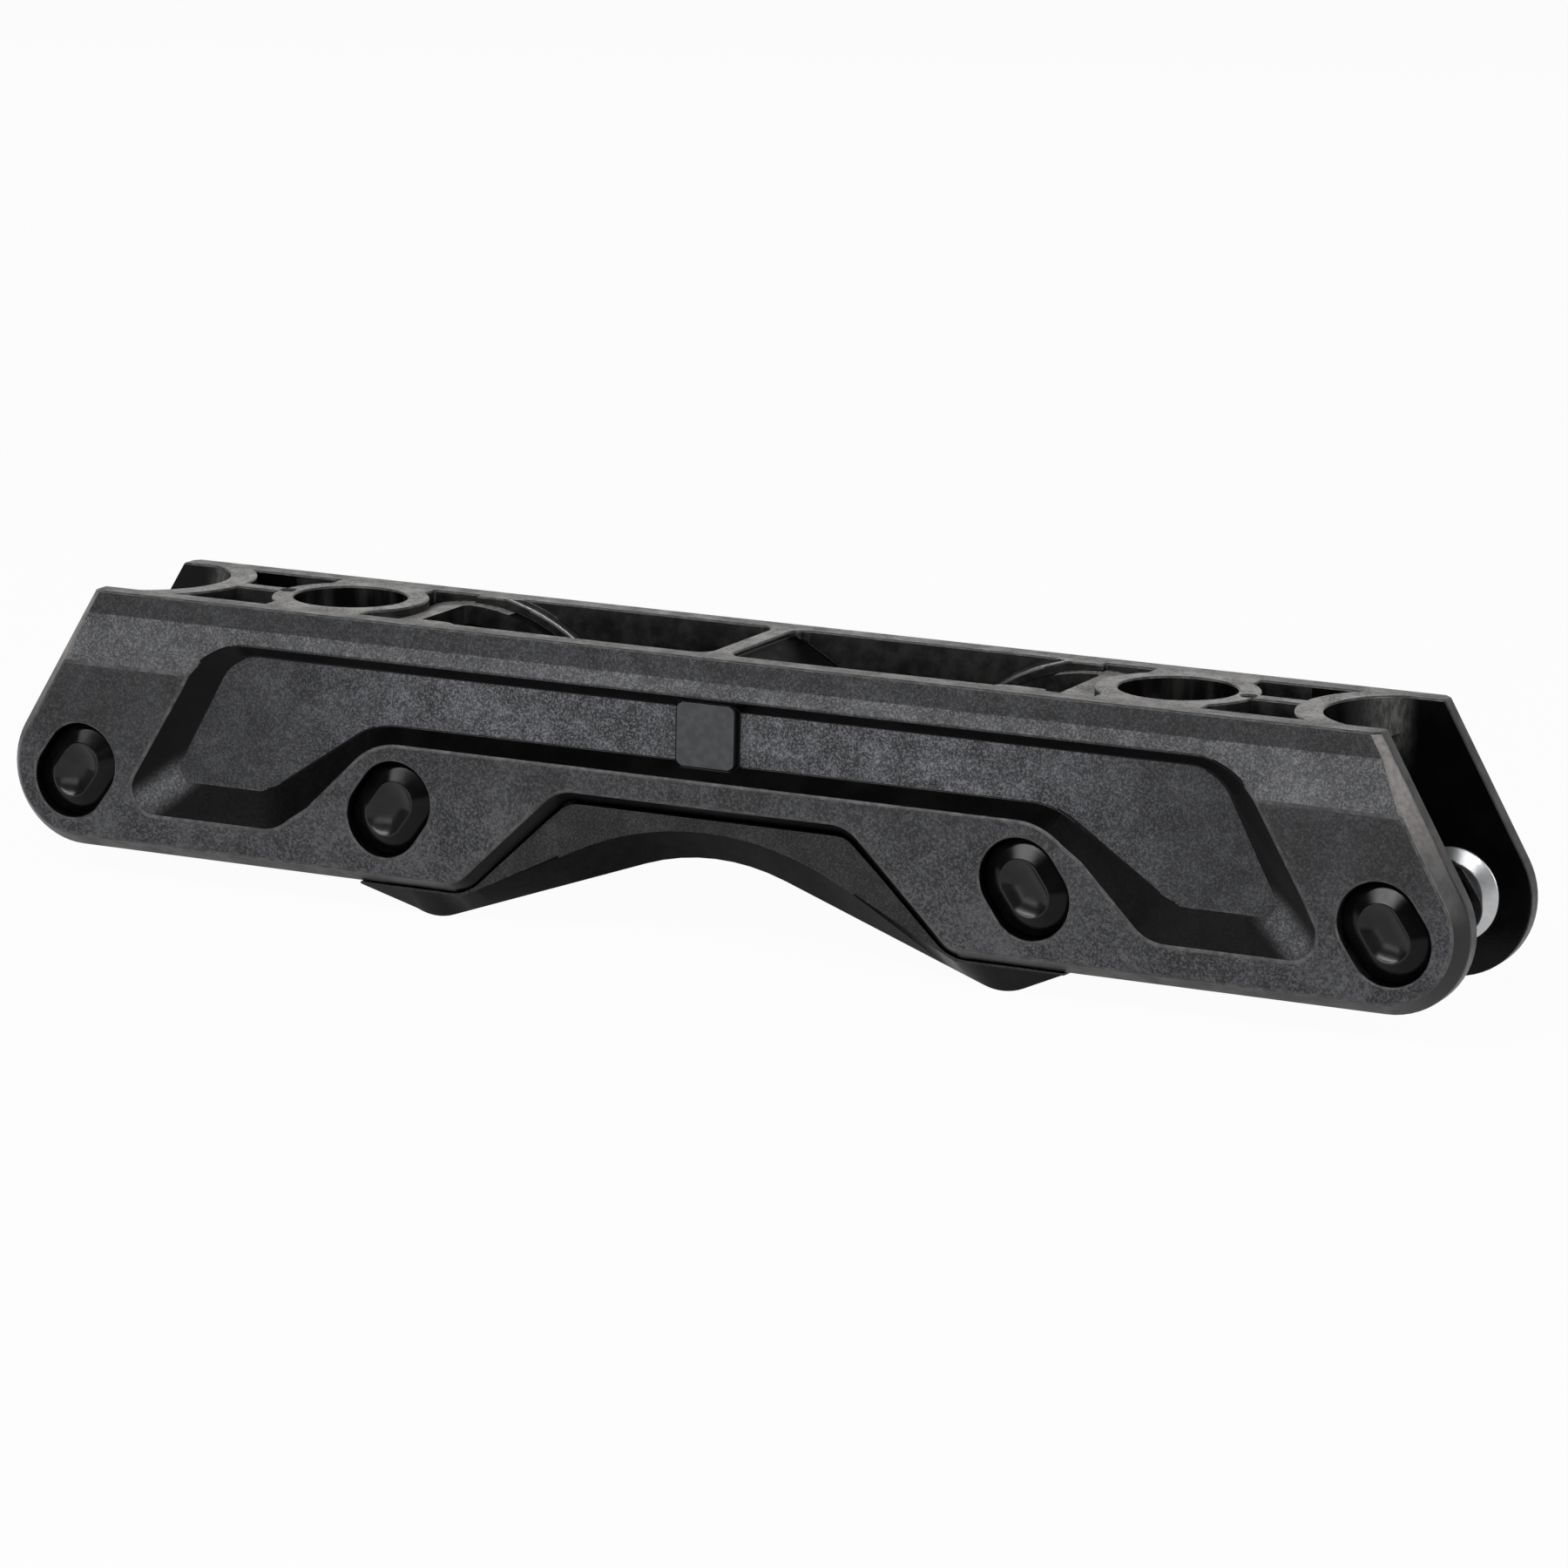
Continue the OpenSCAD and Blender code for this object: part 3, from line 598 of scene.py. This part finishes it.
head_round = 0.0002
for i in (1, 2, 3, 4):
    piece = cad_copy(f"axle_screw_{i}")
    round_edges(piece, head_round)
    settle(piece, f"axle_screw_{i}_steel", [f"axle_screw_{i}"], f"axle_screw_{i}", "screw", oxide)


# FLOOR, LIGHT AND CAMERA
# A white floor, a dim room with a pale wall behind, and soft lamps in front, at the right and behind.
# The camera stands where the photo was taken from.

floor_reach, floor_grey, floor_glow = 6, 0.6, 0.96
floor_mesh = bmesh.new()
bmesh.ops.create_grid(floor_mesh, x_segments=1, y_segments=1, size=floor_reach)
mesh = bpy.data.meshes.new("floor")
floor_mesh.to_mesh(mesh)
floor_mesh.free()
floor = bpy.data.objects.new("floor", mesh)
scene = bpy.context.scene
scene.collection.objects.link(floor)
paper = bpy.data.materials.new("paper")
paper.use_nodes = True
tree = paper.node_tree
tree.nodes.remove(tree.nodes["Principled BSDF"])
rays = tree.nodes.new("ShaderNodeLightPath").outputs
sight = Wire(rays["Is Camera Ray"]) + Wire(rays["Is Glossy Ray"]) + Wire(rays["Is Transmission Ray"])
matt = sight.node("ShaderNodeBsdfDiffuse", {"Color": (floor_grey, floor_grey, floor_grey, 1)})
white = sight.node("ShaderNodeEmission", {"Color": (1, 1, 1, 1), "Strength": 1.0})
seen = sight.node("ShaderNodeMixShader", {0: sight * floor_glow, 1: matt, 2: white})
tree.links.new(seen.socket, tree.nodes["Material Output"].inputs["Surface"])
mesh.materials.append(paper)

room_light, backdrop_light = 0.1, 0.9
world = bpy.data.worlds.new("studio")
scene.world = world
world.use_nodes = True
tree = world.node_tree
sky = Wire(tree.nodes.new("ShaderNodeTexCoord").outputs["Generated"])
backdrop = sky.part("Z").step(0.24, 0.46, 1.0, 0.0) * sky.part("Y").step(0.1, 0.6)
shade = tree.nodes["Background"]
tree.links.new((backdrop * backdrop_light + room_light).socket, shade.inputs["Strength"])
shade.inputs["Color"].default_value = (1, 1, 1, 1)

lamp_centre = Vector((0.0069, 0, axle_z + 0.0087))
for name, way, far, size, watts in (
    ("lamp_top", (-0.16, -0.75, 0.645), 1.3, (1.6, 0.12), 13),
    ("lamp_low", (-0.30, -0.94, 0.15), 1.4, (1.5, 0.34), 4.4),
    ("lamp_right", (0.88, -0.30, 0.38), 1.1, (0.35, 0.45), 5.0),
    ("lamp_back", (-0.42, 0.88, 0.22), 1.6, (1.6, 0.32), 1.8),
):
    lamp = bpy.data.lights.new(name, "AREA")
    lamp.shape = "RECTANGLE"
    lamp.size, lamp.size_y = size
    lamp.energy = watts
    holder = bpy.data.objects.new(name, lamp)
    scene.collection.objects.link(holder)
    way = Vector(way).normalized()
    holder.location = lamp_centre + way * far
    holder.rotation_euler = way.to_track_quat("Z", "Y").to_euler()

yaw, pitch, roll = math.radians(25.156), math.radians(12.213), math.radians(1.194)
target, camera_far = Vector((0.006913, 0, axle_z + 0.008743)), 1.15618
level = math.cos(pitch)
back = Vector((math.sin(yaw) * level, -math.cos(yaw) * level, math.sin(pitch)))
right = Vector((0, 0, 1)).cross(back).normalized()
up = back.cross(right)
tilt = Matrix.Rotation(roll, 3, back)
right, up = tilt @ right, tilt @ up
lens = bpy.data.cameras.new("camera")
lens.lens = 147.34
lens.sensor_width = 36
eye = bpy.data.objects.new("camera", lens)
scene.collection.objects.link(eye)
turn = Matrix((right, up, back)).transposed().to_4x4()
eye.matrix_world = Matrix.Translation(target + back * camera_far) @ turn
scene.camera = eye
scene.view_settings.view_transform = "Standard"
